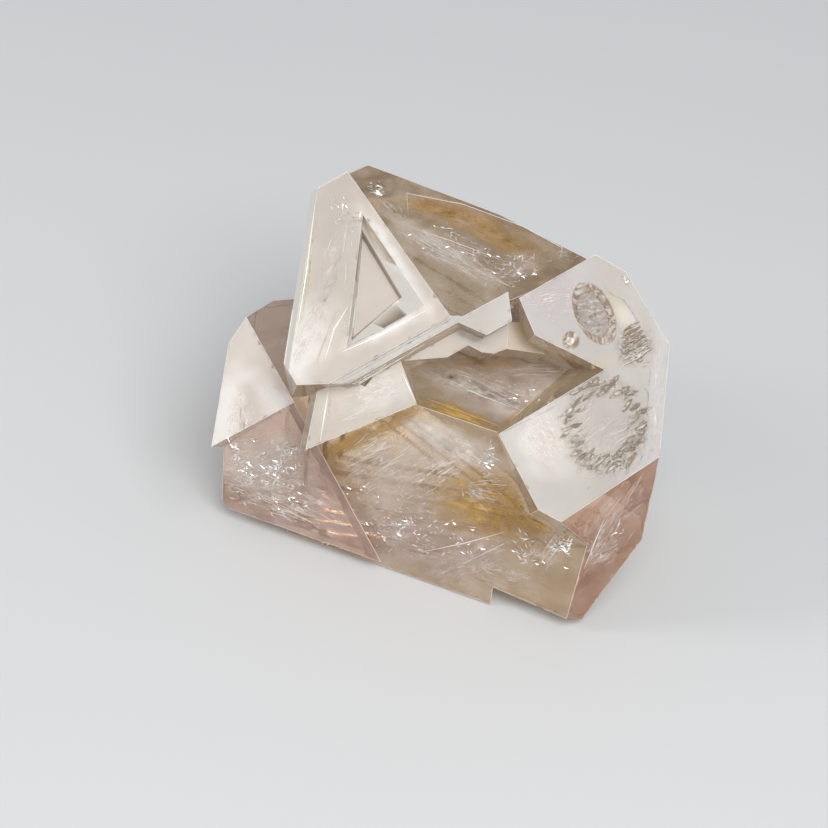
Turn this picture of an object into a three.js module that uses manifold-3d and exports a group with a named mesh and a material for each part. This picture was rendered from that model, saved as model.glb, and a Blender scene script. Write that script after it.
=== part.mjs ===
// Window quartz: one natural cluster of clear, faintly smoky quartz, grown as a main crystal, a raised
// upper-left crystal and a small crystal at the lower left, all in parallel orientation and all one solid.
//
// Growth frame, in millimetres: z leaves the pale window faces, y climbs them towards the top facet, and
// x runs along the edge that a window makes with the top facet. A face is stated by the azimuth of its
// outward normal in the x-y plane, the normal's tilt from z, and the face's distance from the centre.
// The finished cluster is turned about x until its top facet is level, and lies on the facet opposite.
import * as THREE from "three";
import { ConvexGeometry } from "three/addons/geometries/ConvexGeometry.js";
import { mergeVertices } from "three/addons/utils/BufferGeometryUtils.js";
import Module from "manifold-3d";

const wasm = await Module();
wasm.setup();

// ---- Driving dimensions ------------------------------------------------------------------------------

const TOP_TILT = 43; // between a window face and the top facet, degrees
const FRONT_AZIMUTH = -122.7; // the broad lower facet, which meets the top facet in a ridge
const FRONT_TILT = 48.8;

const REST_LEVEL = 16.8; // centre to the facet that the cluster lies on
const REAR_LEVEL = 17; // centre to the rear face, parallel to the windows
const UPPER_BACK_LEVEL = 15.9; // centre to the upper back facet
const SMALL_REST_LEVEL = 15.3; // the same two of the small crystal
const SMALL_REAR_LEVEL = 15;

const UPPER_LEFT_LEVEL = 8.8; // window faces above the centre
const STRIP_LEVEL = 8.2;
const RIGHT_LEVEL = 8;
const MIDDLE_LEVEL = 6;
const LEDGE_LEVEL = 5.5;
const CHANNEL_LEVEL = 4;
const SMALL_LEVEL = 1;

const PEAK_TOP_LEVEL = 19.4; // facets parallel to the top facet
const BACK_TOP_LEVEL = 9.9;
const VALLEY_TOP_LEVEL = 2.6;
const SMALL_TOP_LEVEL = -0.5;

const FRONT_LEVEL = 5.4; // facets parallel to the front facet
const SMALL_FRONT_LEVEL = 6.6;

// Growth steps below the upper-left window, which fan out from their right end.
const STEP_COUNT = 5;
const STEP_WIDTH = 0.19;
const STEP_TURN = 0.46;
const STEP_DROP = 0.35;

// The hopper in the rear face.
const REAR_STEP_COUNT = 3;
const REAR_STEP_WIDTH = 1.2;
const REAR_STEP_DEPTH = 0.8;

// Etched grooves, which are V-shaped and end in points.
const GROOVE_WIDTH = 0.3;
const GROOVE_DEPTH = 0.16;
const GROOVE_TURN = 34; // the way that they run, from x, degrees

const CLEARANCE = 1; // how far a cut starts above the face that it enters
const BEYOND = 34; // farther out than any face of the cluster
const MERGE_TOLERANCE = 1e-4;

// ---- Faces and solids --------------------------------------------------------------------------------

// The outward direction at an azimuth and a tilt from z, in degrees.
function direction(azimuth, tilt) {
  const turn = THREE.MathUtils.degToRad(azimuth);
  const lean = THREE.MathUtils.degToRad(tilt);
  return new THREE.Vector3(
    Math.sin(lean) * Math.cos(turn),
    Math.sin(lean) * Math.sin(turn),
    Math.cos(lean),
  );
}

const face = (azimuth, tilt, distance) => new THREE.Plane(direction(azimuth, tilt), -distance);

const window = (level) => face(0, 0, level);
const rear = (level) => face(0, 180, level);
const top = (level) => face(90, TOP_TILT, level);
const rest = (level) => face(-90, 180 - TOP_TILT, level);
const front = (level) => face(FRONT_AZIMUTH, FRONT_TILT, level);

// The faces round a terrace or a recess: each cuts the window at that level along a line at the azimuth
// and reach given, and stands square to it unless it has a tilt of its own.
function sides(level, list) {
  return list.map(([azimuth, reach, tilt = 90]) => {
    const normal = direction(azimuth, tilt);
    return face(azimuth, tilt, reach * Math.hypot(normal.x, normal.y) + level * normal.z);
  });
}

// A geometry's manifold-3d solid, with its shared corners merged.
function solidOf(geometry) {
  geometry.deleteAttribute("normal");
  geometry.deleteAttribute("uv");
  const merged = mergeVertices(geometry, MERGE_TOLERANCE);
  return new wasm.Manifold(
    new wasm.Mesh({
      numProp: 3,
      vertProperties: merged.attributes.position.array,
      triVerts: new Uint32Array(merged.index.array),
    }),
  );
}

// The point that three planes share, or null where two of them are parallel.
function sharedPoint(a, b, c) {
  const matrix = new THREE.Matrix3().set(
    ...a.normal.toArray(),
    ...b.normal.toArray(),
    ...c.normal.toArray(),
  );
  if (Math.abs(matrix.determinant()) < MERGE_TOLERANCE) return null;
  return new THREE.Vector3(-a.constant, -b.constant, -c.constant).applyMatrix3(matrix.invert());
}

// The convex crystal that lies inside all its faces.
function crystal(faces) {
  const corners = [];
  faces.forEach((a, i) =>
    faces.slice(i + 1).forEach((b, j) =>
      faces.slice(i + j + 2).forEach((c) => {
        const point = sharedPoint(a, b, c);
        if (!point) return;
        const inside = faces.every((f) => f.distanceToPoint(point) < MERGE_TOLERANCE);
        const known = corners.some((q) => q.distanceTo(point) < MERGE_TOLERANCE);
        if (inside && !known) corners.push(point);
      }),
    ),
  );
  return solidOf(new ConvexGeometry(corners));
}

const terrace = (envelope, level, list) =>
  crystal([...envelope, window(level), ...sides(level, list)]);

const recess = (level, depth, list) =>
  crystal([window(level + CLEARANCE), rear(depth - level), ...sides(level, list)]);

const joined = (solids) => solids.reduce((whole, solid) => whole.add(solid));

// A groove cut into a window from one point to another, deepest along its middle line.
function groove(level, [x1, y1], [x2, y2], width = GROOVE_WIDTH) {
  const along = new THREE.Vector2(x2 - x1, y2 - y1).normalize();
  const middle = new THREE.Vector2(x1 + x2, y1 + y2).divideScalar(2);
  const offset = new THREE.Vector2(-along.y, along.x).multiplyScalar(width / 2);
  const corners = [
    new THREE.Vector3(x1, y1, level + CLEARANCE),
    new THREE.Vector3(x2, y2, level + CLEARANCE),
    new THREE.Vector3(x1, y1, level - MERGE_TOLERANCE),
    new THREE.Vector3(x2, y2, level - MERGE_TOLERANCE),
    new THREE.Vector3(middle.x, middle.y, level - GROOVE_DEPTH),
  ];
  for (const side of [1, -1]) {
    const x = middle.x + side * offset.x;
    const y = middle.y + side * offset.y;
    corners.push(new THREE.Vector3(x, y, level), new THREE.Vector3(x, y, level + CLEARANCE));
  }
  return solidOf(new ConvexGeometry(corners));
}

// The lower left corner of the upper-left crystal.
const UPPER_LEFT_FOOT = [
  [-84, -0.48],
  [-147.9, 11.8],
];

// ---- Main crystal ------------------------------------------------------------------------------------

// The faces that close the main crystal all round.
const ENVELOPE = [
  rest(REST_LEVEL),
  rear(REAR_LEVEL),
  face(53.6, 125, UPPER_BACK_LEVEL),
  face(123, 92, 22.8), // upper left flank
  face(173.8, 100, 12.9), // left flank
  face(63.6, 82, 17.6), // right flank, in three facets
  face(33.6, 94, 18.3),
  face(-3.5, 86, 19.8),
  face(-54.2, 53, 17.2), // lower right facet
  face(-31.7, 90, 22.7), // lower right flank
];

// The smoky facet behind the windows, with its sloping front.
const backTop = () =>
  terrace([...ENVELOPE, top(BACK_TOP_LEVEL)], STRIP_LEVEL, [
    [-57.8, -4.35, 80],
    ...UPPER_LEFT_FOOT,
  ]);

// The sunken facet between the windows and the broad front facet, which meet in a ridge.
const valley = () =>
  crystal([...ENVELOPE, window(RIGHT_LEVEL), top(VALLEY_TOP_LEVEL), front(FRONT_LEVEL)]);

// The plate between the growth steps and the ledge, with the band that joins it to the steps.
const stripWindows = () => [
  terrace(ENVELOPE, STRIP_LEVEL, [
    [121.6, 4.6],
    [10, 6.3],
    [-57.6, -2.13],
    [-110.9, -5.37],
  ]),
  terrace(ENVELOPE, STRIP_LEVEL, [
    [89.5, 6.08],
    [10, 1.9],
    [-86.7, -5.25],
    [-52.4, -4.11],
    [-142.1, -3.3],
  ]),
];

// The ledge below that plate, in two parts with a zigzag lower edge, and the channel right of it.
const ledges = () => [
  terrace([...ENVELOPE, top(BACK_TOP_LEVEL)], LEDGE_LEVEL, [
    [-82.2, -2.71, 94],
    [-57, -2.26, 94],
    [0, 3],
    [171.6, 11.5, 94],
  ]),
  terrace([...ENVELOPE, top(BACK_TOP_LEVEL)], LEDGE_LEVEL, [
    [-114.5, -4.38, 94],
    [-93.1, -3.5, 94],
    [-65.1, -1.16, 94],
    [-0.7, 5.37],
  ]),
  terrace([...ENVELOPE, top(BACK_TOP_LEVEL)], CHANNEL_LEVEL, [
    [-94.5, -4.45],
    [180, -4],
    [0, 9],
  ]),
];

const middleWindow = () =>
  terrace(ENVELOPE, MIDDLE_LEVEL, [
    [115.7, 4],
    [23, -3, 75],
    [-64.6, 0.4, 94],
    [171.6, 11.1, 60], // a narrow bevel above the left wall
    [171.6, 11.6, 94],
  ]);

const upperRightWindow = () =>
  terrace(ENVELOPE, RIGHT_LEVEL, [
    [122.9, 3.45],
    [-154.5, -8.85],
    [-113.5, -7.4],
  ]);

const lowerRightWindow = () =>
  terrace(ENVELOPE, RIGHT_LEVEL, [
    [123.9, -6.05, 75],
    [-149.9, -1.9],
    [-115.4, 6.05],
  ]);

// The chipped lower edge right of a small notch.
const chippedEdge = () =>
  crystal([
    rest(BEYOND),
    rear(REAR_LEVEL),
    window(RIGHT_LEVEL),
    face(74.3, 65, -15.1),
    face(180, 90, -6.3),
    face(0, 90, BEYOND),
  ]);

// ---- Etching on the main crystal's windows ------------------------------------------------------------

const polar = ([x, y], radius, turn) => [x + radius * Math.cos(turn), y + radius * Math.sin(turn)];

// Short grooves that run much the same way, set round a smooth middle. Their share of the ring's radii,
// their lengths and their leans are taken in turn.
function etchedRing([x, y], [radiusX, radiusY], shares, lengths, leans, count) {
  return Array.from({ length: count }, (_, i) => {
    const place = (2 * Math.PI * i) / count;
    const share = shares[i % shares.length];
    const middle = [x + radiusX * share * Math.cos(place), y + radiusY * share * Math.sin(place)];
    const turn = THREE.MathUtils.degToRad(GROOVE_TURN + leans[i % leans.length]);
    const half = lengths[i % lengths.length] / 2;
    return groove(RIGHT_LEVEL, polar(middle, -half, turn), polar(middle, half, turn));
  });
}

// A pit with a flat floor, narrower than its mouth. Its mouth is a circle, or an oval that is turned
// by an angle in degrees.
function pit(level, [x, y], [radiusX, radiusY], turn, depth, floorShare, count) {
  const up = new THREE.Vector3(0, 0, 1);
  const middle = new THREE.Vector3(x, y, level);
  const corners = [];
  for (let i = 0; i < count; i++) {
    const place = (2 * Math.PI * i) / count;
    const out = new THREE.Vector3(radiusX * Math.cos(place), radiusY * Math.sin(place), 0);
    out.applyAxisAngle(up, THREE.MathUtils.degToRad(turn));
    corners.push(middle.clone().add(out));
    corners.push(middle.clone().add(out).setZ(level + CLEARANCE));
    corners.push(middle.clone().addScaledVector(out, floorShare).setZ(level - depth));
  }
  return solidOf(new ConvexGeometry(corners));
}

// A row of grooves, one below the other, each longer than the one above it.
function etchedFan([x, y], shortest, longest, step, count) {
  const turn = THREE.MathUtils.degToRad(GROOVE_TURN);
  return Array.from({ length: count }, (_, i) => {
    const start = [x, y - i * step];
    const length = THREE.MathUtils.lerp(shortest, longest, i / (count - 1));
    return groove(RIGHT_LEVEL, start, polar(start, length, turn));
  });
}

const windowEtching = () => [
  ...etchedRing(
    [14, -2.8],
    [3.3, 3.75],
    [1, 0.8, 1.1, 0.9, 0.74, 1.04],
    [1.3, 0.9, 1.6, 1.1, 1.4],
    [0, 14, -8, 6, 24, -14, 8],
    37,
  ),
  pit(RIGHT_LEVEL, [12.7, 7], [2.95, 1.7], -63, 0.7, 0.72, 18),
  pit(RIGHT_LEVEL, [10.7, 4.5], [0.75, 0.8], 0, 0.5, 0.5, 12),
  ...etchedFan([15.4, 5.6], 1.6, 3, 0.52, 7),
];

// The three-sided hole in the middle window.
const middleHole = () =>
  recess(MIDDLE_LEVEL, 1.6, [
    [120, 3.8, 95],
    [-35.5, -5.59, 95],
    [-111, 2.93, 95],
  ]);

// The hopper in the rear face, in three steps.
const rearHopper = () =>
  Array.from({ length: REAR_STEP_COUNT }, (_, step) => {
    const inset = step * REAR_STEP_WIDTH;
    return crystal([
      rear(REAR_LEVEL + CLEARANCE),
      window((step + 1) * REAR_STEP_DEPTH - REAR_LEVEL),
      ...sides(-REAR_LEVEL, [
        [53.6, 5.6 - inset, 70],
        [-90, 4.6 - inset, 70],
        [173.8, 8.4 - inset, 70],
      ]),
    ]);
  });

// ---- Upper-left crystal ------------------------------------------------------------------------------

const UPPER_LEFT_ENVELOPE = [
  rest(REST_LEVEL),
  rear(REAR_LEVEL),
  top(PEAK_TOP_LEVEL),
  face(53.6, 125, UPPER_BACK_LEVEL),
  ...sides(UPPER_LEFT_LEVEL, [
    [173.8, 14.65, 100],
    [173.8, 14.05, 55], // a narrow bevel along the left edge
    [123, 20.6, 92],
    [37.9, 3.45, 84],
    ...UPPER_LEFT_FOOT,
  ]),
];

// The window and the growth steps below it.
const upperLeftTerraces = () =>
  Array.from({ length: STEP_COUNT + 1 }, (_, step) =>
    terrace(UPPER_LEFT_ENVELOPE, UPPER_LEFT_LEVEL - step * STEP_DROP, [
      [-57.8 + step * STEP_TURN, -5.09 + step * STEP_WIDTH],
    ]),
  );

// The hopper: a sloping three-sided recess with a deeper one in its floor.
const hopper = () => [
  recess(UPPER_LEFT_LEVEL, 1.1, [
    [36.6, 2, 143],
    [-57.3, -7, 143],
    [175.7, 9.35, 110],
  ]),
  recess(UPPER_LEFT_LEVEL - 1.1, 0.6, [
    [34, 0.5, 100],
    [-46.5, -8.5, 100],
    [-90, -3.5, 100],
    [177, 8.8, 100],
  ]),
];

// ---- Small crystal at the lower left -----------------------------------------------------------------

const SMALL_ENVELOPE = [
  rest(SMALL_REST_LEVEL),
  rear(SMALL_REAR_LEVEL),
  face(173.5, 99, 19.1),
  face(-145.1, 100, 22.5),
  face(134.4, 100, 18.5),
  face(103.7, 110, 15),
];

const smallCrystal = () => [
  crystal([
    ...SMALL_ENVELOPE,
    top(SMALL_TOP_LEVEL),
    front(SMALL_FRONT_LEVEL),
    face(35.9, 94, -11.5),
  ]),
  crystal([...SMALL_ENVELOPE, top(SMALL_TOP_LEVEL), front(FRONT_LEVEL), face(0, 90, -9)]),
  terrace(SMALL_ENVELOPE, SMALL_LEVEL, [
    [149.6, 18.35],
    [32.1, -11.9],
    [-58.6, -5.55],
  ]),
];

// ---- Cluster -----------------------------------------------------------------------------------------

function cluster() {
  const grown = joined([
    valley(),
    backTop(),
    ...ledges(),
    ...stripWindows(),
    middleWindow(),
    upperRightWindow(),
    lowerRightWindow(),
    ...upperLeftTerraces(),
    ...smallCrystal(),
  ]);
  const cuts = [chippedEdge(), ...hopper(), middleHole(), ...rearHopper(), ...windowEtching()];
  return cuts.reduce((whole, cut) => whole.subtract(cut), grown);
}

// The cluster's geometry, turned to rest on its lower facet with the origin at its bottom centre.
function restingGeometry(solid) {
  const { vertProperties, triVerts } = solid.getMesh();
  const geometry = new THREE.BufferGeometry()
    .setAttribute("position", new THREE.BufferAttribute(vertProperties, 3))
    .setIndex(new THREE.BufferAttribute(triVerts, 1))
    .rotateX(THREE.MathUtils.degToRad(TOP_TILT));
  geometry.computeBoundingBox();
  const middle = geometry.boundingBox.getCenter(new THREE.Vector3());
  return geometry.translate(-middle.x, -middle.y, REST_LEVEL);
}

const quartz = new THREE.MeshStandardMaterial({ color: 0xd9cbb8, roughness: 0.08, metalness: 0 });
const mesh = new THREE.Mesh(restingGeometry(cluster()), quartz);
mesh.name = "quartz_cluster";

export default new THREE.Group().add(mesh);
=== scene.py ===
"""Window quartz: one cluster of clear, faintly smoky quartz crystals on a studio floor.

Lengths are in metres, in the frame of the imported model. What grows with the crystal is placed in its
growth frame instead, in millimetres: z leaves the pale window faces, y climbs them towards the top facets,
and x runs along the edge between the two. TO_PART turns the second into the first.
"""

import math
from collections import namedtuple

import bmesh
import bpy
from mathutils import Matrix, Vector, noise
from mathutils.bvhtree import BVHTree


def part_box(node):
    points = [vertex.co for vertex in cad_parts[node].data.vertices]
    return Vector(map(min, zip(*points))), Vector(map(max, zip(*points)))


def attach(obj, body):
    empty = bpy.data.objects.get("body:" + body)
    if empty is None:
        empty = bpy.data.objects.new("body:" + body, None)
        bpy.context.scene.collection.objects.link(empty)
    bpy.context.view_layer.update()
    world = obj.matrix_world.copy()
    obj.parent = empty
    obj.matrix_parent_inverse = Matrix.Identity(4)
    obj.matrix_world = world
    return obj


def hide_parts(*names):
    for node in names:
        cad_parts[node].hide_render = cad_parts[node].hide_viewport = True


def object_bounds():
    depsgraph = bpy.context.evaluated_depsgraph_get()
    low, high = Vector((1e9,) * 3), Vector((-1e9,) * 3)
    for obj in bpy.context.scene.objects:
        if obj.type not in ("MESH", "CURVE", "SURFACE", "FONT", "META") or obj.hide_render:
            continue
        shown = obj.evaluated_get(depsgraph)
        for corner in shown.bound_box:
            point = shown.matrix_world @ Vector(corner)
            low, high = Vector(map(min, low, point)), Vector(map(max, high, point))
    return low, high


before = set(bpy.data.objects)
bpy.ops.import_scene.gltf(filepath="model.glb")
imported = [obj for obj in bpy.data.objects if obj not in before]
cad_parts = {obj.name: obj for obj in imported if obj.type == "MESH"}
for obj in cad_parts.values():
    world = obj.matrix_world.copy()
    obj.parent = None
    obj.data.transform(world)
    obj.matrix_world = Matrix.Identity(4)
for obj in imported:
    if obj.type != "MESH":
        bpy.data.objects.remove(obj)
cad_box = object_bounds()

SEED = 7  # of every noise and of all that is strewn
MM = 0.001
WELD = 2e-6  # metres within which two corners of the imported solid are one
SAME_FACET = math.radians(0.3)  # faces that turn less than this are one facet

# ---- Growth frame ----

TOP_TILT = math.radians(43)
GROWTH_CENTRE = Vector((-0.21, -4.51, 16.8)) * MM
TO_PART = Matrix.Translation(GROWTH_CENTRE) @ Matrix.Rotation(TOP_TILT, 4, "X") @ Matrix.Scale(MM, 4)
TO_GROWTH = TO_PART.inverted()

# A facet by the azimuth and the tilt of its outward normal, in degrees, and its distance from the centre.
Facet = namedtuple("Facet", "azimuth tilt level")

BACK_TOP = Facet(90, 43, 9.9)
VALLEY = Facet(90, 43, 2.6)
SMALL_TOP = Facet(90, 43, -0.5)
FRONT = Facet(-122.7, 48.8, 5.4)
SMALL_FRONT = Facet(-122.7, 48.8, 6.6)
RIGHT_FLANK = Facet(-54.2, 53, 17.2)
UPPER_LEFT_WINDOW = Facet(0, 0, 8.8)
LEFT_BEVEL = Facet(173.8, 55, 16.56)
STRIP_WINDOW = Facet(0, 0, 8.2)
RIGHT_WINDOW = Facet(0, 0, 8)
MIDDLE_WINDOW = Facet(0, 0, 6)
LEDGE = Facet(0, 0, 5.5)
SMALL_WINDOW = Facet(0, 0, 1)


def normal_of(facet):
    """The outward normal of a facet, in the growth frame."""
    turn, lean = math.radians(facet.azimuth), math.radians(facet.tilt)
    return Vector(
        (math.sin(lean) * math.cos(turn), math.sin(lean) * math.sin(turn), math.cos(lean))
    )


def on_facet(facet, x, y, depth=0.0):
    """The point of the growth frame that lies on a facet at x and y, or that deep below it."""
    normal = normal_of(facet)
    z = (facet.level - normal.x * x - normal.y * y) / normal.z
    return Vector((x, y, z)) - depth * normal


def turned(x, y, degrees):
    """A place turned about z."""
    turn = math.radians(degrees)
    return (
        math.cos(turn) * x - math.sin(turn) * y,
        math.sin(turn) * x + math.cos(turn) * y,
    )


# ---- Node graphs ----


class Graph:
    """A node tree whose nodes are added and linked in one call each."""

    def __init__(self, tree):
        self.tree = tree

    def feed(self, node, inputs):
        """Sets inputs of a node, or links them where the value is a socket."""
        for key, value in inputs.items():
            if isinstance(value, bpy.types.NodeSocket):
                self.tree.links.new(value, node.inputs[key])
            else:
                node.inputs[key].default_value = value

    def add(self, kind, inputs=None, **settings):
        node = self.tree.nodes.new(kind)
        for name, value in settings.items():
            setattr(node, name, value)
        self.feed(node, inputs or {})
        return node

    def math(self, operation, *values, clamp=False):
        node = self.add("ShaderNodeMath", dict(enumerate(values)), operation=operation, use_clamp=clamp)
        return node.outputs[0]

    def noise(self, vector, scale, detail=4.0, roughness=0.55, distortion=0.0):
        inputs = {"Vector": vector, "Scale": scale, "Detail": detail}
        inputs.update({"Roughness": roughness, "Distortion": distortion})
        return self.add("ShaderNodeTexNoise", inputs).outputs["Fac"]

    def ramp(self, value, low, high, to_low=0.0, to_high=1.0):
        node = self.add(
            "ShaderNodeMapRange",
            {"Value": value, "From Min": low, "From Max": high, "To Min": to_low, "To Max": to_high},
        )
        return node.outputs["Result"]

    def mix(self, share, first, second):
        """A colour between two others; the node's sockets for colours are the 7th and the 8th."""
        return self.add("ShaderNodeMix", {0: share, 6: first, 7: second}, data_type="RGBA").outputs[2]

    def attribute(self, name, output="Fac"):
        return self.add("ShaderNodeAttribute", attribute_name=name).outputs[output]


def srgb(red, green, blue):
    """A colour of 0 to 255 as the linear colour that a node takes."""
    linear = [
        c / 12.92 if c <= 0.04045 else ((c + 0.055) / 1.055) ** 2.4
        for c in (red / 255, green / 255, blue / 255)
    ]
    return (*linear, 1.0)


def new_material(name):
    """A material, the graph of its nodes, and its shader."""
    material = bpy.data.materials.new(name)
    material.use_nodes = True
    graph = Graph(material.node_tree)
    shader = material.node_tree.nodes["Principled BSDF"]
    return material, graph, shader


def growth_coordinates(graph):
    """Object coordinates turned into the growth frame, in millimetres."""
    turn = Matrix.Rotation(-TOP_TILT, 3, "X")
    mapping = graph.add(
        "ShaderNodeMapping",
        {
            "Vector": graph.add("ShaderNodeTexCoord").outputs["Object"],
            "Location": turn @ (-GROWTH_CENTRE / MM),
            "Rotation": (-TOP_TILT, 0, 0),
            "Scale": (1 / MM, 1 / MM, 1 / MM),
        },
    )
    return mapping.outputs["Vector"]


def stretched(graph, vector, scale, turn=0):
    """Coordinates turned about z by some degrees and stretched, for striae and streaks."""
    mapping = graph.add(
        "ShaderNodeMapping",
        {"Vector": vector, "Rotation": (0, 0, math.radians(turn)), "Scale": scale},
    )
    return mapping.outputs["Vector"]


# ---- Materials ----

QUARTZ_IOR = 1.544
SMOKE_COLOUR = (0.74, 0.52, 0.2, 1.0)
SMOKE_DENSITY = 13.0  # per metre
CLOUD_COLOUR = (0.92, 0.84, 0.77, 1)
SPECK_COLOUR = (0.97, 0.95, 0.93, 1)
ICE_COLOUR = (0.93, 0.93, 0.93, 1)
WHITE = (1, 1, 1, 1)
ETCHED_TINT = srgb(222, 208, 186)

STRIAE_TURN = 28  # the way the fine striae run, from x, degrees
STRIAE_STRETCH = (0.3, 2.4, 1)
STREAK_STRETCH = Vector((0.35, 1.7, 0))
STREAK_SHARE = 0.65  # how much of a film's pattern is streaks; wisps are the rest
FILM_SOFTNESS = 0.2  # how slowly a film thickens with its pattern
FILM_THICKEST = 0.75  # how much of what is under it a film of strength 1 covers
BUMP = {"Strength": 0.2, "Distance": 0.04 * MM}
CHALK = 1.5  # the frost at which a face lets the least light through


def add_smoke(material, graph):
    """The faint smoky body colour, which deepens with the light's way through the crystal."""
    volume = graph.add(
        "ShaderNodeVolumeAbsorption", {"Color": SMOKE_COLOUR, "Density": SMOKE_DENSITY}
    )
    graph.feed(material.node_tree.nodes["Material Output"], {"Volume": volume.outputs[0]})


def clear_quartz():
    """Glossy facets, walls and pits, clouded a little from inside."""
    material, graph, shader = new_material("clear_quartz")
    place = growth_coordinates(graph)
    clouds = graph.noise(place, 0.2, detail=5, roughness=0.6, distortion=0.6)
    specks = graph.noise(place, 1.7, detail=3, roughness=0.7)
    striae = graph.noise(stretched(graph, place, STRIAE_STRETCH, STRIAE_TURN), 0.9, detail=2, roughness=0.5)
    tint = graph.attribute("tint", "Color")
    clouded = graph.mix(graph.ramp(clouds, 0.45, 0.75, 0, 0.5), tint, CLOUD_COLOUR)
    clearness = graph.math(
        "MULTIPLY",
        graph.ramp(clouds, 0.4, 0.7, 0.86, 0.62),
        graph.ramp(graph.attribute("frost"), 0, 1, 1, 0.4),
    )
    shading = {
        "Base Color": graph.mix(graph.ramp(specks, 0.5, 0.75, 0, 0.3), clouded, SPECK_COLOUR),
        "Roughness": graph.ramp(specks, 0.4, 0.7, 0.02, 0.1),
        "Transmission Weight": clearness,
        "Normal": graph.add("ShaderNodeBump", {**BUMP, "Height": striae}).outputs[0],
        "IOR": QUARTZ_IOR,
    }
    graph.feed(shader, shading)
    add_smoke(material, graph)
    return material


def window_quartz():
    """The pale windows: frosted by etching, and whiter where it is dense."""
    material, graph, shader = new_material("window_quartz")
    place = growth_coordinates(graph)
    clouds = graph.noise(place, 0.22, detail=5, roughness=0.6, distortion=0.6)
    grain = graph.noise(place, 6.0, detail=3, roughness=0.7)
    frost = graph.attribute("frost")
    tint = graph.attribute("tint", "Color")
    white = graph.mix(graph.ramp(clouds, 0.35, 0.75, 0, 0.35), tint, ICE_COLOUR)
    share = graph.math("MULTIPLY", frost, graph.ramp(grain, 0.3, 0.6, 0.85, 1), clamp=True)
    shading = {
        "Base Color": graph.mix(share, ETCHED_TINT, white),
        "Roughness": graph.ramp(frost, 0, 1, 0.04, 0.3),
        "Transmission Weight": graph.ramp(frost, 0, CHALK, 0.85, 0.1),
        "Normal": graph.add("ShaderNodeBump", {**BUMP, "Height": grain}).outputs[0],
        "IOR": QUARTZ_IOR,
    }
    graph.feed(shader, shading)
    add_smoke(material, graph)
    return material


def film(name, dark, light, grain, cover, roughness):
    """A thin film on a facet: streaked along its own length, and thinner towards its rim."""
    material, graph, shader = new_material(name)
    along = graph.add("ShaderNodeUVMap").outputs[0]
    stretch = grain * STREAK_STRETCH + Vector((0, 0, 1))
    streaks = graph.noise(stretched(graph, along, stretch), 1.0, detail=6, roughness=0.68, distortion=0.9)
    wisps = graph.noise(growth_coordinates(graph), 0.55, roughness=0.6, distortion=0.8)
    body = graph.math(
        "ADD",
        graph.math("MULTIPLY", streaks, STREAK_SHARE),
        graph.math("MULTIPLY", wisps, 1 - STREAK_SHARE),
    )
    thickness = graph.ramp(body, cover, cover + FILM_SOFTNESS, 0, FILM_THICKEST)
    shading = {
        "Base Color": graph.mix(graph.ramp(streaks, 0.35, 0.65), dark, light),
        "Alpha": graph.math("MULTIPLY", graph.attribute("fade"), thickness, clamp=True),
        "Roughness": roughness,
    }
    graph.feed(shader, shading)
    return material


def flake_material(name, colour, roughness, metallic=0.0):
    """Small cracks and flakes, thin lines, and the marks of painted highlight and painted shadow, brighter
    in patches.
    """
    material, graph, shader = new_material(name)
    patches = graph.noise(growth_coordinates(graph), 2.5, detail=2)
    shading = {
        "Base Color": graph.mix(graph.ramp(patches, 0.3, 0.7, 0, 0.6), colour, WHITE),
        "Roughness": graph.ramp(patches, 0.3, 0.7, roughness, 1.6 * roughness),
        "Metallic": metallic,
    }
    graph.feed(shader, shading)
    return material


# ---- Crystal ----

GRID = 0.26  # spacing of the cuts that carry the surface's relief, mm
FINE_GRID = 0.13  # the same in the etched part of the right window, mm
CUT_GAP = 1e-4  # nearer than this, a face ends at a cut, mm
CUT_SNAP = 1e-5  # nearer than this, a cut runs through a corner that is already there, mm
FACET_GAP = 0.45  # farther than this from a facet, a face doesn't belong to it, mm
FACET_WAY = 0.9  # cosine under which a face doesn't look its facet's way
SHARP = math.radians(4)  # edges that turn more than this stay sharp
SAME_PLANE = 0.9995  # cosine under which two normals differ
FLAT = 1e-3  # length between two normals that are still one

RING_CENTRE = Vector((14.0, -2.8))
RING_RADII = Vector((3.3, 3.75))
RING_WIDTH = 0.24  # in radii, like the next two
RING_MIDDLE = 0.96
RING_RAGGED = 0.16
SMOOTH_MIDDLE = 2.8  # radius of the ring's smooth middle, mm
FAN_CENTRE = Vector((16.6, 4.2))
FAN_RADIUS, FAN_FADE, FAN_RAGGED = 1.1, 0.8, 0.5  # mm
GROOVE_TURN = 34  # the way that the etched grooves run, from x, degrees
GROOVE_BEND = 12  # how far they bend from it, degrees
GROOVE_DEPTH = 0.1  # mm
GROOVE_SIZE = (1.1, 0.2)  # their length and width, mm
RIPPLE_SHARE = 0.65  # how much of the etching comes and goes with the grooves
STRIPE_GAIN, STRIPE_START = 5, 1.7  # how hard the stripes of painted shade in the grooves and pits are, and how high they begin
WINDOW_DROP = 0.01  # how far the grid of the right window lies below its facet, mm

# The low ridges of a kind of facet: their height in mm, the way they run in degrees, their length and width
# in mm, and the power that narrows them.
Ridges = namedtuple("Ridges", "height turn length width power")

SIDE, WINDOW, TOP, SLOPE, FLANK = range(5)
WAYS = {
    WINDOW: normal_of(RIGHT_WINDOW),
    TOP: normal_of(BACK_TOP),
    SLOPE: normal_of(FRONT),
    FLANK: normal_of(RIGHT_FLANK),
}
RIDGES = {
    WINDOW: Ridges(0.02, 33, 3.5, 0.6, 1),
    TOP: Ridges(0.04, -18, 4.0, 1.2, 2),
    SLOPE: Ridges(0.04, 32, 4.0, 1.1, 2),
    FLANK: Ridges(0.16, 62, 3.6, 0.7, 2),
}

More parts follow.
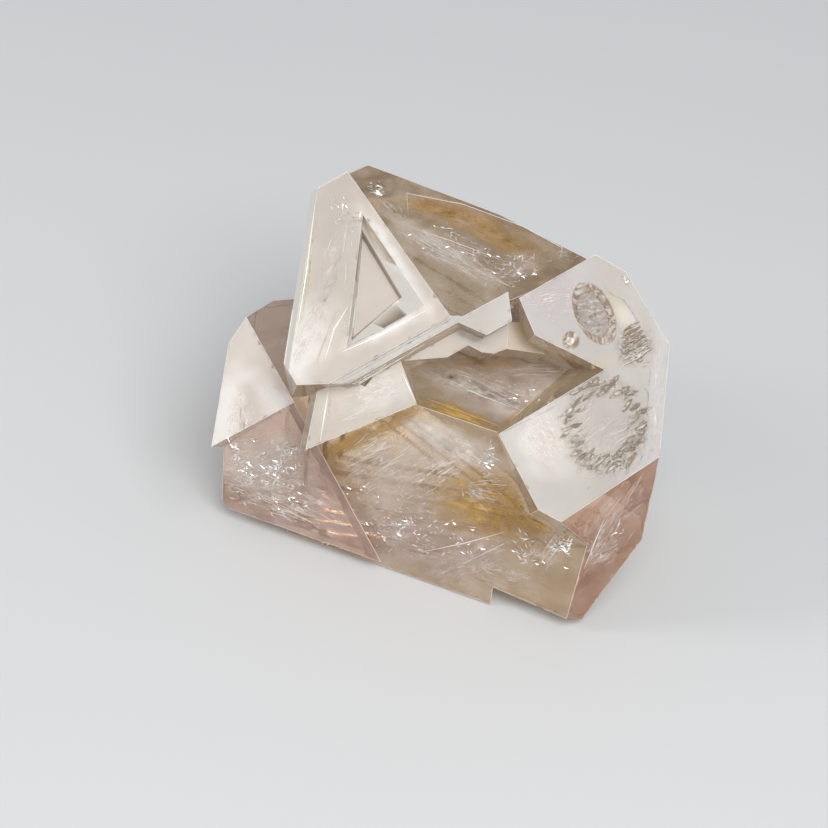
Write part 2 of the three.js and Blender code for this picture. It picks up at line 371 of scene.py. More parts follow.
ETCHED_FROM = 9.4  # x where the etched part of the right window begins, mm
PIT_FLOOR = 7.31  # the floors of its pits lie just under this height, mm
HOPPER_FLOOR = 6.9  # the hopper of the upper left window lies between this height and the window
HOPPER_RIM = -0.02  # or, more closely, so far above the window, which isn't part of it
HOPPER_LEDGE = 7.4  # above this is the hopper's ledge, below it its floor
HOPPER_SIDE = (0.54, -0.84, -6.5)  # where a * x + b * y is less than c; the growth steps lie past that

# A part of the crystal by the reach of its x, y and z.
Zone = namedtuple("Zone", "x y z")

ANY, ETCHED = (-math.inf, math.inf), (ETCHED_FROM, math.inf)
GROOVES = Zone(ETCHED, ANY, (PIT_FLOOR, RIGHT_WINDOW.level + CUT_GAP))
PIT_FLOORS = Zone(ETCHED, ANY, (PIT_FLOOR - 0.1, PIT_FLOOR))
ETCHED_PART = Zone(ETCHED, ANY, (PIT_FLOOR - 0.1, RIGHT_WINDOW.level))
STEPS = Zone((-3.0, 8.0), (1.0, math.inf), (LEDGE.level - 0.1, STRIP_WINDOW.level + CUT_GAP))
VALLEY_WALLS = Zone((3.0, 13.5), (-5.5, 6.5), (1.5, RIGHT_WINDOW.level + CUT_GAP))

# A patch of tint on a facet: its centre, half lengths and turn in degrees as seen along z, its colour, and
# how strong it is.
Patch = namedtuple("Patch", "facet x y long wide turn colour strength")

PATCH_RAGGED = 0.25  # how far its rim strays, in half lengths

CREAM = srgb(240, 222, 160)
MILK = srgb(250, 246, 238)
ROSE = srgb(234, 202, 190)
HAZE = srgb(206, 194, 190)
BLUISH = srgb(206, 216, 238)
LILAC = srgb(208, 202, 224)
OCHRE = srgb(246, 214, 160)
TAN = srgb(226, 206, 190)
# Groove walls: painted light, striped with painted shade; pit floors: darker, striped with painted shadow.
PAINTED_GROOVE_LIGHT = srgb(252, 246, 236)
PAINTED_GROOVE_SHADE = srgb(200, 170, 148)
FLOOR_TINT = srgb(172, 138, 122)
SHADOW_TINT = srgb(96, 70, 56)
BODY_TINT = srgb(244, 228, 204)
MILKY = (MILK, BLUISH)  # the colours that also frost what they tint


def rows_of(kind, table):
    """Patches, films or lines from a table that is kept by facet."""
    return [kind(facet, *row) for facet, rows in table.items() for row in rows]


TINTS = {
    BACK_TOP: srgb(240, 216, 182),
    VALLEY: srgb(252, 236, 208),
    SMALL_TOP: srgb(252, 222, 210),
    FRONT: srgb(244, 208, 166),
    SMALL_FRONT: srgb(255, 212, 200),
    RIGHT_FLANK: srgb(252, 188, 154),
    UPPER_LEFT_WINDOW: srgb(222, 200, 182),
    LEFT_BEVEL: srgb(252, 240, 206),
    STRIP_WINDOW: srgb(212, 212, 206),
    RIGHT_WINDOW: srgb(206, 206, 202),
    MIDDLE_WINDOW: srgb(222, 208, 184),
    LEDGE: srgb(216, 196, 176),
    SMALL_WINDOW: srgb(240, 222, 212),
}
FACET_LIST = list(TINTS)

FROST_CLOUDS = 0.3  # how far a window's frost strays from the share below
FROST_MILK = 0.5  # how much frost a milky patch adds
FROST_ETCHED = 0.6  # how much of the frost etching takes away

# How frosted the window faces are, where they aren't milky.
FROSTS = {
    UPPER_LEFT_WINDOW: 0.45,
    LEFT_BEVEL: 1.0,
    STRIP_WINDOW: 0.6,
    RIGHT_WINDOW: 0.55,
    MIDDLE_WINDOW: 0.5,
    LEDGE: 0.6,
    SMALL_WINDOW: 0.55,
}

PATCHES = rows_of(Patch, {
    BACK_TOP: [(-0.6, 13.4, 6.4, 1.3, -36, MILK, 0.8)],
    VALLEY: [
        (6.6, 0.8, 9.0, 5.0, 4, ROSE, 0.7),
        (6.6, 0.8, 9.0, 5.0, 4, MILK, 0.35),
        (3.4, 0.2, 7.0, 1.2, -21, MILK, 0.9),
        (7.4, -0.4, 3.4, 1.8, 30, MILK, 0.7),
    ],
    FRONT: [
        (0.8, -4.7, 6.0, 1.2, -25, MILK, 0.9),
        (-2.6, -6.4, 3.6, 2.4, 30, MILK, 0.4),
        (3.4, -14.8, 5.0, 1.6, 16, ROSE, 0.8),
        (-2.0, -12.8, 9.0, 3.0, -16, ROSE, 1.0),
        (-2.0, -10.4, 9.0, 4.0, -16, MILK, 0.2),
    ],
    SMALL_FRONT: [
        (-15.4, -7.6, 5.0, 3.6, 20, ROSE, 0.6),
        (-15.2, -6.4, 3.6, 2.4, 20, MILK, 0.4),
    ],
    UPPER_LEFT_WINDOW: [
        (-8.6, 17.4, 4.4, 3.0, -10, ROSE, 0.8),
        (-10.4, 9.8, 5.0, 2.0, 82, HAZE, 0.9),
        (-13.0, 9.0, 8.0, 0.7, 86, CREAM, 1.0),
        (-12.8, 2.8, 5.6, 2.6, 66, MILK, 1.0),
        (-5.4, 10.4, 6.4, 1.2, -55, MILK, 1.0),
        (-5.6, 4.8, 5.0, 1.1, 30, MILK, 0.9),
    ],
    RIGHT_WINDOW: [
        (9.6, 8.4, 5.0, 3.6, 20, LILAC, 0.9),
        (18.6, 2.0, 9.0, 0.9, 88, BLUISH, 0.5),
        (17.0, -6.6, 4.5, 1.0, 40, LILAC, 0.8),
        (8.4, -4.5, 3.4, 3.0, -60, MILK, 0.7),
        (14.9, 7.4, 3.0, 0.8, -62, CREAM, 1.0),
        (13.4, 2.6, 2.4, 0.7, 16, CREAM, 0.6),
        (15.7, 6.6, 1.8, 1.0, -50, MILK, 0.5),
    ],
    MIDDLE_WINDOW: [
        (-9.9, -2.6, 4.2, 0.8, 82, ROSE, 1.0),
        (-3.0, -0.2, 2.6, 0.5, -60, CREAM, 1.0),
        (-6.0, -0.6, 3.8, 2.2, 16, MILK, 0.9),
    ],
    SMALL_WINDOW: [
        (-19.0, -2.8, 5.0, 1.6, 80, MILK, 0.9),
        (-14.8, -1.4, 3.4, 1.6, -50, MILK, 0.8),
    ],
})


def within(zone, point):
    """Whether a point lies in a zone of the crystal."""
    return all(low < value < high for (low, high), value in zip(zone, point))


def in_hopper(point, rim=HOPPER_RIM):
    """Whether a point lies in the hopper of the upper left window, up to so far above its rim."""
    a, b, c = HOPPER_SIDE
    return a * point.x + b * point.y < c and HOPPER_FLOOR < point.z < UPPER_LEFT_WINDOW.level + rim


def way_of(face):
    """Which kind of facet a face looks like, by the way it looks."""
    for way, normal in WAYS.items():
        if face.normal.dot(normal) > SAME_PLANE:
            return way
    return SIDE


def facet_of(face):
    """The named facet that a face lies on, or None."""
    middle = face.calc_center_median()
    best, gap = None, FACET_GAP
    if in_hopper(middle):
        return None
    for facet in FACET_LIST:
        normal = normal_of(facet)
        off = abs(middle.dot(normal) - facet.level)
        if face.normal.dot(normal) > FACET_WAY and off < gap:
            best, gap = facet, off
    return best


def is_etched(face, on_window):
    """Whether a face belongs to the etched part of the right window, with its grooves and pits."""
    middle = face.calc_center_median()
    return within(ETCHED_PART, middle) and face.normal.z > 0.1 or on_window and middle.x > ETCHED_FROM


def is_pale(face, way, facet):
    """Whether a face is a window, or a wall of the hopper, of a groove or of the growth steps."""
    middle = face.calc_center_median()
    hollow = in_hopper(middle) or within(GROOVES, middle) or within(STEPS, middle)
    return way == WINDOW or facet == LEFT_BEVEL or (facet is None and hollow)


def cut_grid(bm, wanted, spacing):
    """Cuts the wanted faces along lines of constant x and then of constant y."""
    for axis in (0, 1):

        def low(face):
            return min(v.co[axis] for v in face.verts)

        def high(face):
            return max(v.co[axis] for v in face.verts)

        waiting = sorted(
            ((low(face), face.index, face) for face in bm.faces if wanted(face)), reverse=True
        )
        last = max(high(face) for _, _, face in waiting)
        position, reached = waiting[-1][0] + spacing, []
        while position < last:
            while waiting and waiting[-1][0] < position - CUT_GAP:
                reached.append(waiting.pop()[2])
            crossed = [face for face in reached if high(face) > position + CUT_GAP]
            corners = {v for face in crossed for v in face.verts}
            sides = {e for face in crossed for e in face.edges}
            cut = bmesh.ops.bisect_plane(
                bm,
                geom=[*crossed, *corners, *sides],
                dist=CUT_SNAP,
                plane_co=[position if i == axis else 0 for i in range(3)],
                plane_no=[float(i == axis) for i in range(3)],
            )
            reached = [
                piece
                for piece in cut["geom"]
                if isinstance(piece, bmesh.types.BMFace) and high(piece) > position + CUT_GAP
            ]
            position += spacing
        bm.faces.index_update()


def bell(distance, radius):
    """1 at no distance, and nearly 0 at twice the radius."""
    return math.exp(-((distance / radius) ** 2))


def striae(x, y, turn, length, width):
    """Long ridges of uneven height, 0 to 1, that run at an angle."""
    along, across = turned(x, y, -turn)
    return 0.5 + 0.5 * noise.noise(Vector((along / length, across / width, SEED)))


def ring_strength(x, y):
    """How strongly the window is etched round the smooth middle of the ring."""
    arm = Vector((x, y)) - RING_CENTRE
    reach = Vector((arm.x / RING_RADII.x, arm.y / RING_RADII.y)).length
    ragged = RING_RAGGED * noise.noise(Vector((0.9 * x, 0.9 * y, SEED)))
    return bell(reach - RING_MIDDLE - ragged, RING_WIDTH)


def fan_strength(x, y):
    """The same for the fan of grooves between the ring and the pits."""
    arm = Vector((x, y)) - FAN_CENTRE
    ragged = FAN_RAGGED * noise.noise(Vector((x, y, 2 * SEED)))
    return bell(max(arm.length - FAN_RADIUS - ragged, 0), FAN_FADE)


def ripples(x, y):
    """Crooked ridges, 0 to 1, that run the way the grooves do."""
    bend = GROOVE_BEND * noise.noise(Vector((0.5 * x, 0.5 * y, SEED)))
    return striae(x, y, GROOVE_TURN + bend, *GROOVE_SIZE)


def etching(x, y):
    """How strongly the right window is etched at a place: on the ring, in the fan and inside the ring."""
    arm = (Vector((x, y)) - RING_CENTRE).length
    marks = 1 - RIPPLE_SHARE + RIPPLE_SHARE * ripples(x, y)
    marks *= max(ring_strength(x, y), fan_strength(x, y))
    return min(1.0, 0.5 * bell(arm, SMOOTH_MIDDLE) + marks)


def relief(way, facet, x, y):
    """How far the surface lies below its facet, in millimetres."""
    if facet == RIGHT_WINDOW:
        grooves = GROOVE_DEPTH * max(ring_strength(x, y), fan_strength(x, y))
        return WINDOW_DROP + grooves * ripples(x, y)
    ridges = RIDGES[way]
    return ridges.height * striae(x, y, ridges.turn, ridges.length, ridges.width) ** ridges.power


def emboss(bm, ways, facets):
    """Lowers the inner corners of each facet by its relief."""
    moves = []
    for vert in bm.verts:
        first, *rest = vert.link_faces
        inner = first[ways] != SIDE and first[facets] >= 0
        if not inner or any(f[ways] != first[ways] or f[facets] != first[facets] for f in rest):
            continue
        if all((f.normal - first.normal).length <= FLAT for f in rest):
            depth = relief(first[ways], FACET_LIST[first[facets]], vert.co.x, vert.co.y)
            moves.append((vert, depth * first.normal))
    for vert, move in moves:
        vert.co -= move


def blend(first, second, share):
    """The colour that far from the first to the second."""
    return [a + share * (b - a) for a, b in zip(first, second)]


def patch_share(patch, point):
    """How much of a patch shows at a point: whole in the middle, ragged at the rim."""
    along, across = turned(point.x - patch.x, point.y - patch.y, -patch.turn)
    ragged = PATCH_RAGGED * noise.noise(0.8 * point)
    reach = 1 + PATCH_RAGGED - math.hypot(along / patch.long, across / patch.wide) + ragged
    reach = max(0.0, min(1.0, reach))
    return patch.strength * reach * reach * (3 - 2 * reach)


def facet_tint(facet, point):
    """The tint at a point of a facet, and how milky it is there."""
    tint, milky = TINTS[facet], 0.0
    for patch in PATCHES:
        if patch.facet == facet:
            share = patch_share(patch, point)
            tint = blend(tint, patch.colour, share)
            milky += share * ((patch.colour in MILKY) - milky)
    return tint, milky


def wall_tint(point):
    """The same for a wall or a floor that lies on no named facet."""
    stripe = min(1.0, max(0.0, STRIPE_GAIN * ripples(point.x, point.y) - STRIPE_START))
    if in_hopper(point, CUT_GAP):
        return (MILK, 1.0) if point.z > HOPPER_LEDGE else (TAN, 0.6)
    # groove walls: near-white painted light, striped with painted shade
    if within(GROOVES, point):
        return blend(PAINTED_GROOVE_LIGHT, PAINTED_GROOVE_SHADE, stripe), CHALK - 0.7 * stripe
    # pit floors: darker, striped with painted shadow
    if within(PIT_FLOORS, point):
        return blend(FLOOR_TINT, SHADOW_TINT, stripe), 0.9
    if within(STEPS, point):
        return TINTS[LEDGE], 0.8
    if within(VALLEY_WALLS, point):
        return OCHRE, 0.6
    return BODY_TINT, 0.0


def frost_at(facet, milky, point):
    """How frosted a facet is: 0 is clear, 1 is white ice."""
    if facet not in FROSTS:
        return milky
    clouds = FROST_CLOUDS * noise.noise(Vector((0.25 * point.x, 0.12 * point.y, SEED)))
    frost = FROSTS[facet] + FROST_MILK * milky + clouds
    if facet == RIGHT_WINDOW:
        frost *= 1 - FROST_ETCHED * etching(point.x, point.y)
    return min(1.0, max(0.0, frost))


def look_at(facet, point):
    """The tint and the frost at a point of a facet, or of a wall where the facet is None."""
    tint, milky = wall_tint(point) if facet is None else facet_tint(facet, point)
    return tint, frost_at(facet, milky, point)


def packed_solid():
    """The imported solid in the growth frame, with one face to each facet."""
    bm = bmesh.new()
    bm.from_mesh(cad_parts["quartz_cluster"].data)
    bmesh.ops.remove_doubles(bm, verts=bm.verts, dist=WELD)
    bm.transform(TO_GROWTH)
    bmesh.ops.dissolve_limit(bm, angle_limit=SAME_FACET, verts=bm.verts, edges=bm.edges)
    bm.normal_update()
    return bm


def add_piece(name, mesh, *materials):
    """Adds an object with a mesh of its own, and gives the mesh its materials."""
    for material in materials:
        mesh.materials.append(material)
    piece = bpy.data.objects.new(name, mesh)
    bpy.context.scene.collection.objects.link(piece)
    return piece


def shape_facets(bm, ways, facets):
    """Cuts the solid into a grid, tells its facets apart and lowers their relief into them."""
    for face in bm.faces:
        face[ways] = way_of(face)
    cut_grid(bm, lambda face: face[ways] != SIDE, GRID)
    bm.normal_update()
    for face in bm.faces:
        facet = facet_of(face)
        face[facets] = FACET_LIST.index(facet) if facet else -1
        face.material_index = int(is_pale(face, face[ways], facet))
    right = FACET_LIST.index(RIGHT_WINDOW)
    cut_grid(bm, lambda face: is_etched(face, face[facets] == right), FINE_GRID)
    for edge in bm.edges:
        edge.smooth = edge.calc_face_angle(math.pi) < SHARP
    emboss(bm, ways, facets)
    bmesh.ops.triangulate(bm, faces=bm.faces)


def paint(bm, facets):
    """Lays the tint and the frost on the corners of the faces."""
    tint = bm.loops.layers.float_color.new("tint")
    frost = bm.loops.layers.float.new("frost")
    bm.verts.index_update()
    looks = {}
    for face in bm.faces:
        face.smooth = True
        facet = FACET_LIST[face[facets]] if face[facets] >= 0 else None
        for loop in face.loops:
            corner = (loop.vert.index, facet)
            if corner not in looks:
                looks[corner] = look_at(facet, loop.vert.co)
            loop[tint], loop[frost] = looks[corner]


def crystal():
    """The whole cluster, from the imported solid, with relief on its facets."""
    bm = packed_solid()
    ways = bm.faces.layers.int.new("way")
    facets = bm.faces.layers.int.new("facet")
    shape_facets(bm, ways, facets)
    paint(bm, facets)
    bm.transform(TO_PART)
    bm.faces.layers.int.remove(ways)
    mesh = bpy.data.meshes.new("crystal")
    bm.to_mesh(mesh)
    bm.free()
    return add_piece("crystal", mesh, clear_quartz(), window_quartz())


# ---- Films on the crystal ----

# A film on a facet: its centre, half lengths and turn in degrees as seen along z, its strength, how much
# what lies on it spreads out from the near end like a fan, and how far it is sunk into a pit.
Film = namedtuple("Film", "facet x y long wide turn strength flare sunk", defaults=(0.0, 0.0))

FILM_STEPS = (36, 20)  # cells along and across a film
FILM_GAP = 0.06  # farther than this from the crystal, a film is cut off, mm
FLAKE_GAP = 0.2  # farther than this from the crystal, a flake is left out, mm
FADE_POWER = 1.3  # how soon a film thins out towards its rim
FLARE_START = 1.2  # how far before a film's middle its fan begins, in half lengths
SWARM_EDGE = (0.46, 0.62)  # the noise between which a swarm of flakes begins

# Depths below the facet in millimetres. Films lie just outside the facets, so they are lit like them.
STAIN_DEPTH = -0.012
VEIL_DEPTH = -0.018
FLAKE_DEPTH = -0.02
LINE_DEPTH = -0.024
PIT_DEPTH = 0.705  # how far a film that lies in a pit is sunk

STAINS = rows_of(Film, {
    BACK_TOP: [
        (3.2, 16.4, 7.6, 1.7, -23, 1.3),
        (-0.4, 17.8, 4.0, 1.1, -12, 0.9),
        (6.0, 14.4, 4.4, 1.6, -26, 0.8),
    ],
    VALLEY: [
        (4.4, 3.2, 4.4, 1.3, 9, 0.8),
        (11.1, 3.7, 3.8, 1.5, 3, 0.8),
        (1.7, -2.5, 5.0, 1.0, -21, 1.6),
        (9.2, -0.6, 6.2, 1.0, 36, 1.5),
    ],
    FRONT: [
        (-6.2, -3.9, 5.6, 1.0, 26, 2.2),
        (4.8, -9.6, 6.4, 3.6, -12, 1.4),
        (8.2, -10.8, 4.8, 2.6, -30, 1.5),
        (-9.3, -7.2, 2.4, 1.2, 70, 0.8),
    ],
})

VEILS = rows_of(Film, {
    BACK_TOP: [
        (-1.8, 13.4, 5.0, 1.7, -37, 2.0),
        (0.6, 12.4, 6.4, 2.0, -30, 1.7),
        (2.6, 10.8, 5.0, 1.4, -24, 0.9),
        (6.8, 12.0, 2.8, 1.5, 40, 1.1),
    ],
    VALLEY: [
        (3.4, 0.2, 7.0, 1.5, -18, 2.4),
        (2.6, 0.4, 5.6, 0.9, -23, 3.0),
        (5.8, 0.6, 6.4, 2.8, -20, 1.8),
        (8.0, 2.4, 5.4, 1.8, 6, 1.4),
    ],
    FRONT: [
        (0.8, -4.7, 6.0, 1.4, -25, 2.4),
        (-4.8, -6.4, 4.4, 3.4, 32, 1.7),
        (-0.6, -7.2, 4.8, 3.4, 28, 1.9),
        (-2.0, -10.6, 6.4, 2.6, -8, 0.6),
        (-8.0, -10.6, 4.0, 2.2, -30, 0.7),
        (3.8, -15.0, 4.2, 2.6, 24, 1.3),
        (4.2, -5.6, 2.2, 1.4, 80, 1.3),
        (10.4, -13.6, 3.0, 1.8, 60, 1.1),
        (-1.0, -13.4, 4.6, 1.5, -14, 1.2),
        (7.0, -16.0, 4.0, 1.4, -16, 1.2),
    ],
    SMALL_FRONT: [
        (-15.0, -7.2, 6.0, 4.0, 20, 1.6),
        (-12.0, -9.8, 6.0, 3.2, -24, 1.4),
    ],
    RIGHT_FLANK: [
        (15.3, -13.9, 1.9, 1.4, 25, 1.5),
        (15.0, -12.0, 5.0, 2.6, 62, 0.9),
        (16.8, -10.0, 4.0, 1.8, 50, 0.8),
    ],
    UPPER_LEFT_WINDOW: [
        (-11.2, 8.4, 6.4, 1.0, 82, 1.0),
        (-12.4, 4.2, 4.6, 1.4, 62, 1.2),
        (-7.4, 5.2, 2.6, 1.2, 70, 0.8),
    ],
    MIDDLE_WINDOW: [(-6.6, -0.6, 3.6, 1.6, 20, 1.4)],
    RIGHT_WINDOW: [
        (8.6, -4.0, 4.4, 3.0, -50, 1.2),
        (9.2, 8.2, 3.6, 2.4, 16, 1.2),
        (18.6, 1.0, 7.0, 0.8, 90, 1.2),
    ],
    SMALL_WINDOW: [(-17.8, -3.2, 3.6, 1.4, 84, 1.2)],
})

SPARKLES = rows_of(Film, {
    BACK_TOP: [
        (6.6, 11.6, 2.8, 1.7, 38, 1.4),
        (-5.9, 19.7, 1.2, 1.0, -10, 3.0),
        (1.0, 13.4, 7.0, 2.4, -30, 0.5),
    ],
    VALLEY: [(5.0, 0.4, 6.0, 1.6, -16, 0.35)],
    FRONT: [
        (-1.9, -11.9, 1.9, 1.0, 25, 3.0),
        (-8.6, -12.7, 2.0, 0.9, 8, 3.0),
        (11.5, -13.7, 1.2, 1.7, 10, 2.0),
        (4.4, -6.4, 0.9, 1.8, 10, 2.0),
        (-3.0, -11.4, 9.0, 2.6, -16, 0.5),
        (7.5, -13.4, 6.0, 1.8, -16, 0.4),
    ],
    SMALL_FRONT: [
        (-14.6, -6.6, 3.2, 2.0, 20, 3.4),
        (-16.9, -5.8, 1.9, 1.6, 0, 3.4),
        (-14.0, -9.0, 5.2, 2.6, -20, 0.7),
    ],
    RIGHT_FLANK: [(15.2, -12.6, 2.8, 1.8, 60, 0.5)],
    UPPER_LEFT_WINDOW: [
        (-9.4, 14.2, 2.6, 1.3, -40, 1.4),
        (-9.0, 4.4, 1.0, 1.2, 60, 1.2),
    ],
    RIGHT_WINDOW: [(15.3, 10.3, 0.6, 0.4, -30, 3.0)],
    MIDDLE_WINDOW: [(-7.8, 1.0, 2.6, 0.6, 30, 1.2)],
})

# Dark flakes: painted shadow in the etched ring, fan and pits, and dark hairline marks elsewhere.
ETCH_SHADOW_MARKS = rows_of(Film, {
    RIGHT_WINDOW: [
        (13.2, 5.6, 1.4, 2.2, 27, 3.0, 0.0, PIT_DEPTH),
        (12.2, 7.6, 1.4, 1.8, 10, 2.0, 0.0, PIT_DEPTH),
        (16.6, 4.2, 1.7, 2.2, 30, 0.8),
        (11.2, -3.4, 1.1, 2.8, 24, 0.8),
        (12.9, -6.2, 1.6, 1.3, 44, 0.9),
        (15.3, -6.3, 1.2, 1.3, 78, 0.9),
        (16.8, -3.0, 1.1, 2.9, 40, 0.7),
        (13.2, -0.02, 2.6, 1.0, 34, 0.7),
    ],
    VALLEY: [
        (8.0, 1.2, 1.5, 1.2, 70, 0.7),
        (12.4, 3.1, 1.8, 0.7, -16, 0.8),
    ],
    FRONT: [
        (4.3, -8.6, 2.0, 1.7, -14, 1.3, 1.0),
        (-5.6, -6.6, 2.4, 1.4, 30, 0.4),
    ],
    SMALL_WINDOW: [(-17.7, -3.7, 2.0, 0.5, 88, 0.9)],
    UPPER_LEFT_WINDOW: [(-10.9, 8.0, 3.4, 0.6, 70, 0.4)],
    BACK_TOP: [
        (-4.2, 17.4, 1.8, 0.7, -54, 0.8),
        (11.0, 13.2, 2.0, 0.8, 24, 0.6),
    ],
})

# Pale flakes: painted highlights on the etched ring and fans, and pale streaks on the other facets.
STROKES = rows_of(Film, {
    FRONT: [
        (-6.2, -5.0, 3.4, 1.8, 27, 0.9),
        (-2.8, -6.0, 3.6, 2.2, 32, 1.0),
        (1.8, -5.4, 3.6, 1.2, -26, 1.2),
        (4.6, -9.0, 2.2, 1.8, -14, 0.8, 1.0),
    ],
    BACK_TOP: [
        (0.8, 12.8, 6.0, 1.9, -32, 1.0),
        (-3.8, 15.8, 2.6, 1.0, -56, 1.0),
    ],
    VALLEY: [
        (4.2, 0.0, 6.6, 1.4, -20, 1.3),
        (9.6, 2.6, 4.0, 1.6, 8, 0.8),
    ],
    SMALL_FRONT: [(-14.6, -9.6, 5.0, 2.0, -22, 0.6)],
    RIGHT_FLANK: [(15.6, -11.6, 5.0, 2.2, 62, 0.8)],
    RIGHT_WINDOW: [
        (14.0, -2.8, 3.6, 4.0, 34, 0.5),
        (16.4, 4.6, 2.0, 2.6, 30, 0.9),
    ],
    UPPER_LEFT_WINDOW: [
        (-10.6, 9.0, 5.0, 1.6, 80, 0.5),
        (-5.6, 10.2, 5.6, 0.9, -55, 1.0),
    ],
    MIDDLE_WINDOW: [(-7.0, -1.6, 3.4, 2.0, 24, 0.9)],
})

# A thin line on a facet: its full width, and the points that it runs through.
Line = namedtuple("Line", "facet width points")

LINE_TIP = 0.15  # how wide a line is at its ends, as a share of its full width

DARK_LINES = rows_of(Line, {
    BACK_TOP: [
        (0.14, [(1.4, 14.6), (2.8, 14.1), (4.0, 13.5)]),
        (0.12, [(-5.7, 18.6), (-4.9, 17.4), (-4.2, 16.0)]),
        (0.1, [(-4.1, 17.5), (-2.8, 15.7)]),
        (0.07, [(4.0, 13.5), (6.4, 12.6)]),
        (0.08, [(9.9, 12.4), (12.1, 13.4)]),
    ],
    FRONT: [
        (0.1, [(-6.3, -9.7), (-4.4, -10.4), (-2.6, -10.7)]),
        (0.07, [(-5.9, -8.6), (-4.7, -8.7)]),
    ],
    RIGHT_WINDOW: [
        (0.06, [(13.4, 9.7), (14.3, 8.7), (15.2, 8.5), (16.1, 7.4), (16.9, 6.1)]),
        (
            0.06,
            [(17.9, 3.0), (17.9, 1.0), (17.4, 0.7), (17.8, 0.2), (17.8, -3.6), (17.2, -6.2), (14.8, -8.0)],
        ),
    ],
    SMALL_WINDOW: [
        (0.08, [(-17.9, -1.0), (-17.8, -4.3)]),
        (0.06, [(-17.3, -2.0), (-17.6, -3.9)]),
    ],
    UPPER_LEFT_WINDOW: [
        (0.08, [(-12.35, 15.6), (-12.7, 9.0), (-13.2, 4.6)]),
        (0.07, [(-9.4, 2.6), (-6.3, 4.2), (-2.6, 6.6)]),
        (0.06, [(-9.6, 6.6), (-10.6, 4.6), (-11.4, 2.2), (-11.8, 0.6)]),
        (0.05, [(-8.5, 13.2), (-9.0, 13.9), (-10.6, 13.4)]),
    ],
    MIDDLE_WINDOW: [(0.07, [(-10.1, -0.9), (-10.3, -2.8), (-10.6, -5.2)])],
})

# Pale lines: partly healed lines in the crystal, partly painted highlights along the rims of growth steps
# and edges.
BRIGHT_LINES = rows_of(Line, {
    BACK_TOP: [
        (0.07, [(-3.2, 16.7), (-3.2, 19.4), (2.1, 18.5), (7.4, 16.4), (10.9, 14.2), (10.5, 12.9)]),
        (0.09, [(-2.8, 15.4), (0.6, 14.2), (5.6, 12.2)]),
    ],
    FRONT: [
        (0.2, [(3.4, -15.0), (6.6, -13.2)]),
        (0.08, [(-2.4, -3.9), (4.2, -6.6)]),
        (0.09, [(-0.3, -14.0), (3.2, -13.2), (6.5, -12.2)]),
    ],
    VALLEY: [
        (0.1, [(-1.4, -1.0), (4.8, -3.3)]),
        (0.1, [(0.4, 1.2), (3.6, -0.4), (6.2, -1.4)]),
    ],
    RIGHT_FLANK: [(0.12, [(13.7, -15.2), (14.2, -13.0), (14.7, -10.9)])],
    UPPER_LEFT_WINDOW: [
        (0.1, [(-12.5, 15.0), (-13.0, 8.6), (-13.6, 3.4)]),
        (0.14, [(-9.5, 2.2), (-6.2, 3.9), (-2.3, 6.3)]),
        (0.12, [(-9.2, 6.2), (-10.3, 4.2), (-11.0, 1.4)]),
    ],
    MIDDLE_WINDOW: [
        (0.12, [(-10.4, -1.0), (-10.6, -2.8), (-10.9, -5.4)]),
        (0.1, [(-3.9, 1.0), (-3.3, -0.2), (-2.7, -1.4)]),
    ],
})

EDGE_RADIUS = 0.028  # of the rods of painted edge highlight, mm
EDGE_SHORTEST = 1.3  # shorter edges get no painted highlight, mm
EDGE_TURN = math.radians(18)  # nor do blunter ones
EDGE_SIDES = 4  # of each rod
EDGE_SHRINK = 0.9985  # keeps the painted edge highlights inside the crystal's own box


def gap_to_crystal(point):
    """How far a point of the growth frame is from the crystal's surface, in millimetres."""
    return surface.find_nearest(point)[3]


def past_box(point):
    """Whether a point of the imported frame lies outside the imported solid's box."""
    return any(value < low or value > high for value, low, high in zip(point, *cad_box))


def film_point(row, u, v, depth):
    """The point at -1 to 1 along and across a film."""
    x, y = turned(u * row.long, v * row.wide, row.turn)
    return on_facet(row.facet, row.x + x, row.y + y, depth + row.sunk)


def film_aim(row, u, v):
    """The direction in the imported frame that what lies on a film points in."""
    lean = row.flare * math.atan2(v * row.wide, (u + FLARE_START) * row.long)
    turn = math.radians(row.turn) + lean
    start = on_facet(row.facet, 0, 0)
    end = on_facet(row.facet, math.cos(turn), math.sin(turn))
    return (TO_PART.to_3x3() @ (end - start)).normalized()


def film_cells():
    """The corners of each cell of a film, by their number."""
    steps, sides = FILM_STEPS
    for i in range(steps):
        for j in range(sides):
            corner = i * (sides + 1) + j
            yield corner, corner + sides + 1, corner + sides + 2, corner + 1


def film_mesh(name, rows, depth):
    """Films as one mesh, cut where their facets end, with how thick each is and which way it runs."""
    vertices, faces, fades, aims, places = [], [], [], [], []
    steps, sides = FILM_STEPS
    for row in rows:
        first = len(vertices)
        lies = []
        for i in range(steps + 1):
            for j in range(sides + 1):
                u, v = 2 * i / steps - 1, 2 * j / sides - 1
                point = film_point(row, u, v, depth)
                lies.append(gap_to_crystal(point) < FILM_GAP and not past_box(TO_PART @ point))
                vertices.append(TO_PART @ point)
                fades.append(row.strength * max(0.0, 1 - math.hypot(u, v) ** 2) ** FADE_POWER)
                places.append((u * row.long + row.x, v * row.wide + row.y))
                aims.extend(film_aim(row, u, v))
        for corners in film_cells():
            if all(lies[c] for c in corners):
                faces.append([first + c for c in corners])
            else:
                for c in corners:
                    fades[first + c] = 0.0
    mesh = bpy.data.meshes.new(name)
    mesh.from_pydata(vertices, [], faces)
    mesh.attributes.new("fade", "FLOAT", "POINT").data.foreach_set("value", fades)
    mesh.attributes.new("aim", "FLOAT_VECTOR", "POINT").data.foreach_set("vector", aims)
    along = mesh.uv_layers.new(name="along").uv
    for loop in mesh.loops:
        along[loop.index].vector = places[loop.vertex_index]
    drop_corners(mesh, lambda corners: [v for v in corners if not v.link_faces])
    return mesh


